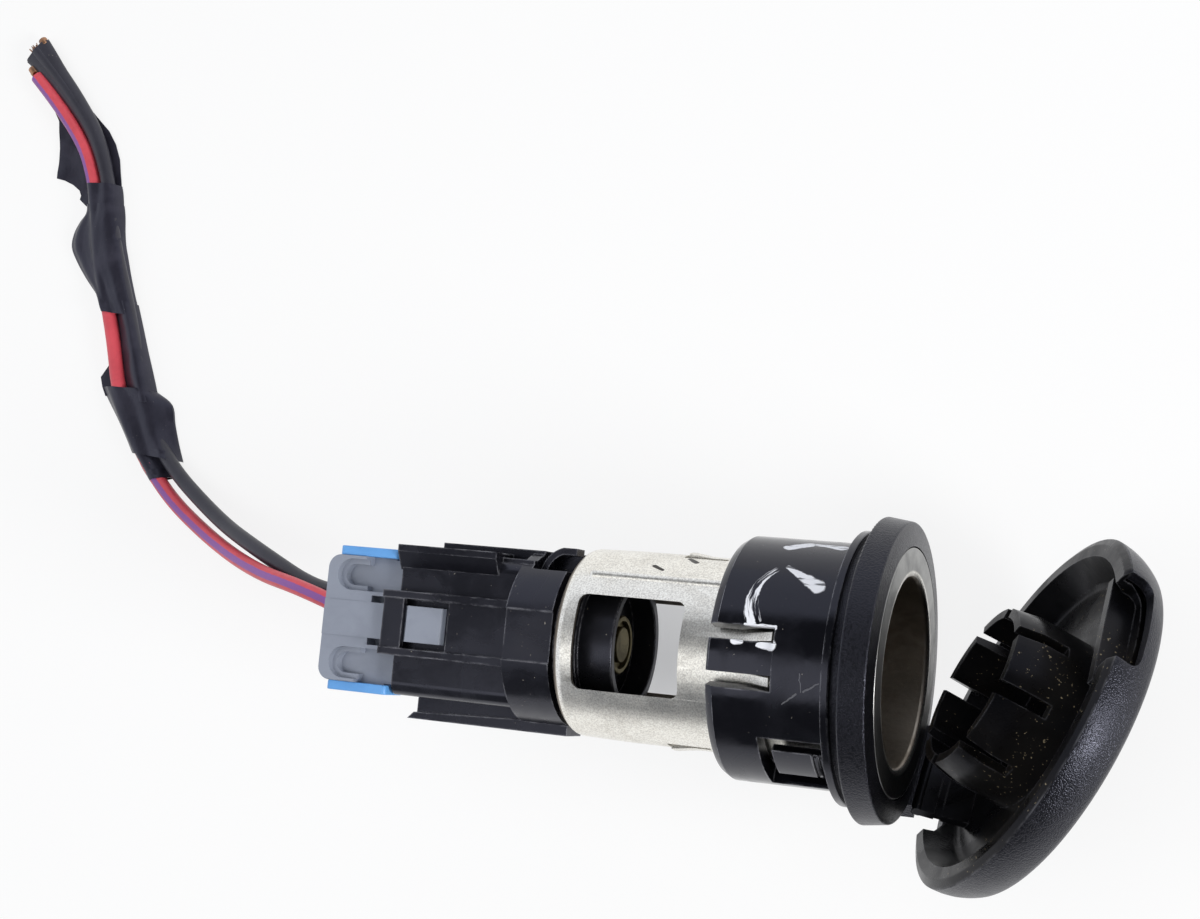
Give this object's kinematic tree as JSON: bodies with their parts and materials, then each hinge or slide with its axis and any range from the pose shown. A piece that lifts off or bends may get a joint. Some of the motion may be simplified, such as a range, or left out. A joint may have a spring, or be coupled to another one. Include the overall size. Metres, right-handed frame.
{
  "type": "car 12 V power socket",
  "caption": "Round 12 V vehicle power socket: plated tube in a flanged sleeve with front bezel, hinged plug-in cap, rear connector with mating plug and a cut pigtail.",
  "frame": {"origin": "on the socket axis, in the plane of the panel's front face, which the sleeve's flange sits on", "axes": "+X along the socket axis and out of its mouth, +Z towards the connector's latch side, +Y completes the right-handed frame"},
  "size_m": [0.1719, 0.1043, 0.0406],
  "materials": {
    "nickel": "bright nickel plate with smudges",
    "sleeve_black": "semi-gloss moulded black",
    "grained_black": "leather-grained black",
    "liner_black": "smooth satin black",
    "carrier_black": "matt black moulding",
    "brass": "dull brass",
    "tin": "tinned copper alloy",
    "housing_black": "dark grey-black moulding, scuffed",
    "plug_grey": "blue-grey moulding",
    "clip_blue": "sky blue moulding",
    "red_insulation": "red with a purple stripe",
    "black_insulation": "black",
    "copper": "bare copper strands",
    "tape": "black vinyl tape"
  },
  "bodies": {
    "socket": {"socket_shell": "nickel", "mounting_sleeve": "sleeve_black", "bezel_ring": "grained_black", "contact_carrier": "carrier_black", "centre_contact": "brass", "contact_rivet": "brass", "positive_blade": "tin", "ground_blade": "tin", "connector_housing": "housing_black", "plug_housing": "plug_grey", "lock_clip_upper": "clip_blue", "lock_clip_lower": "clip_blue", "positive_terminal": "tin", "ground_terminal": "tin", "red_wire": "red_insulation", "black_wire": "black_insulation", "red_wire_core": "copper", "black_wire_core": "copper", "tape_wrap_lower": "tape", "tape_wrap_middle": "tape", "tape_wrap_upper": "tape"},
    "cap": {"cap_cover": "grained_black", "cap_liner": "liner_black"}
  },
  "joints": [
    {"name": "cap_hinge", "type": "hinge", "parent": "socket", "child": "cap", "pos_m": [0.00617, -0.01097, -0.01219], "axis": [0, 0.7431, -0.6691], "range_deg": [-35.7, 69.3]}
  ]
}
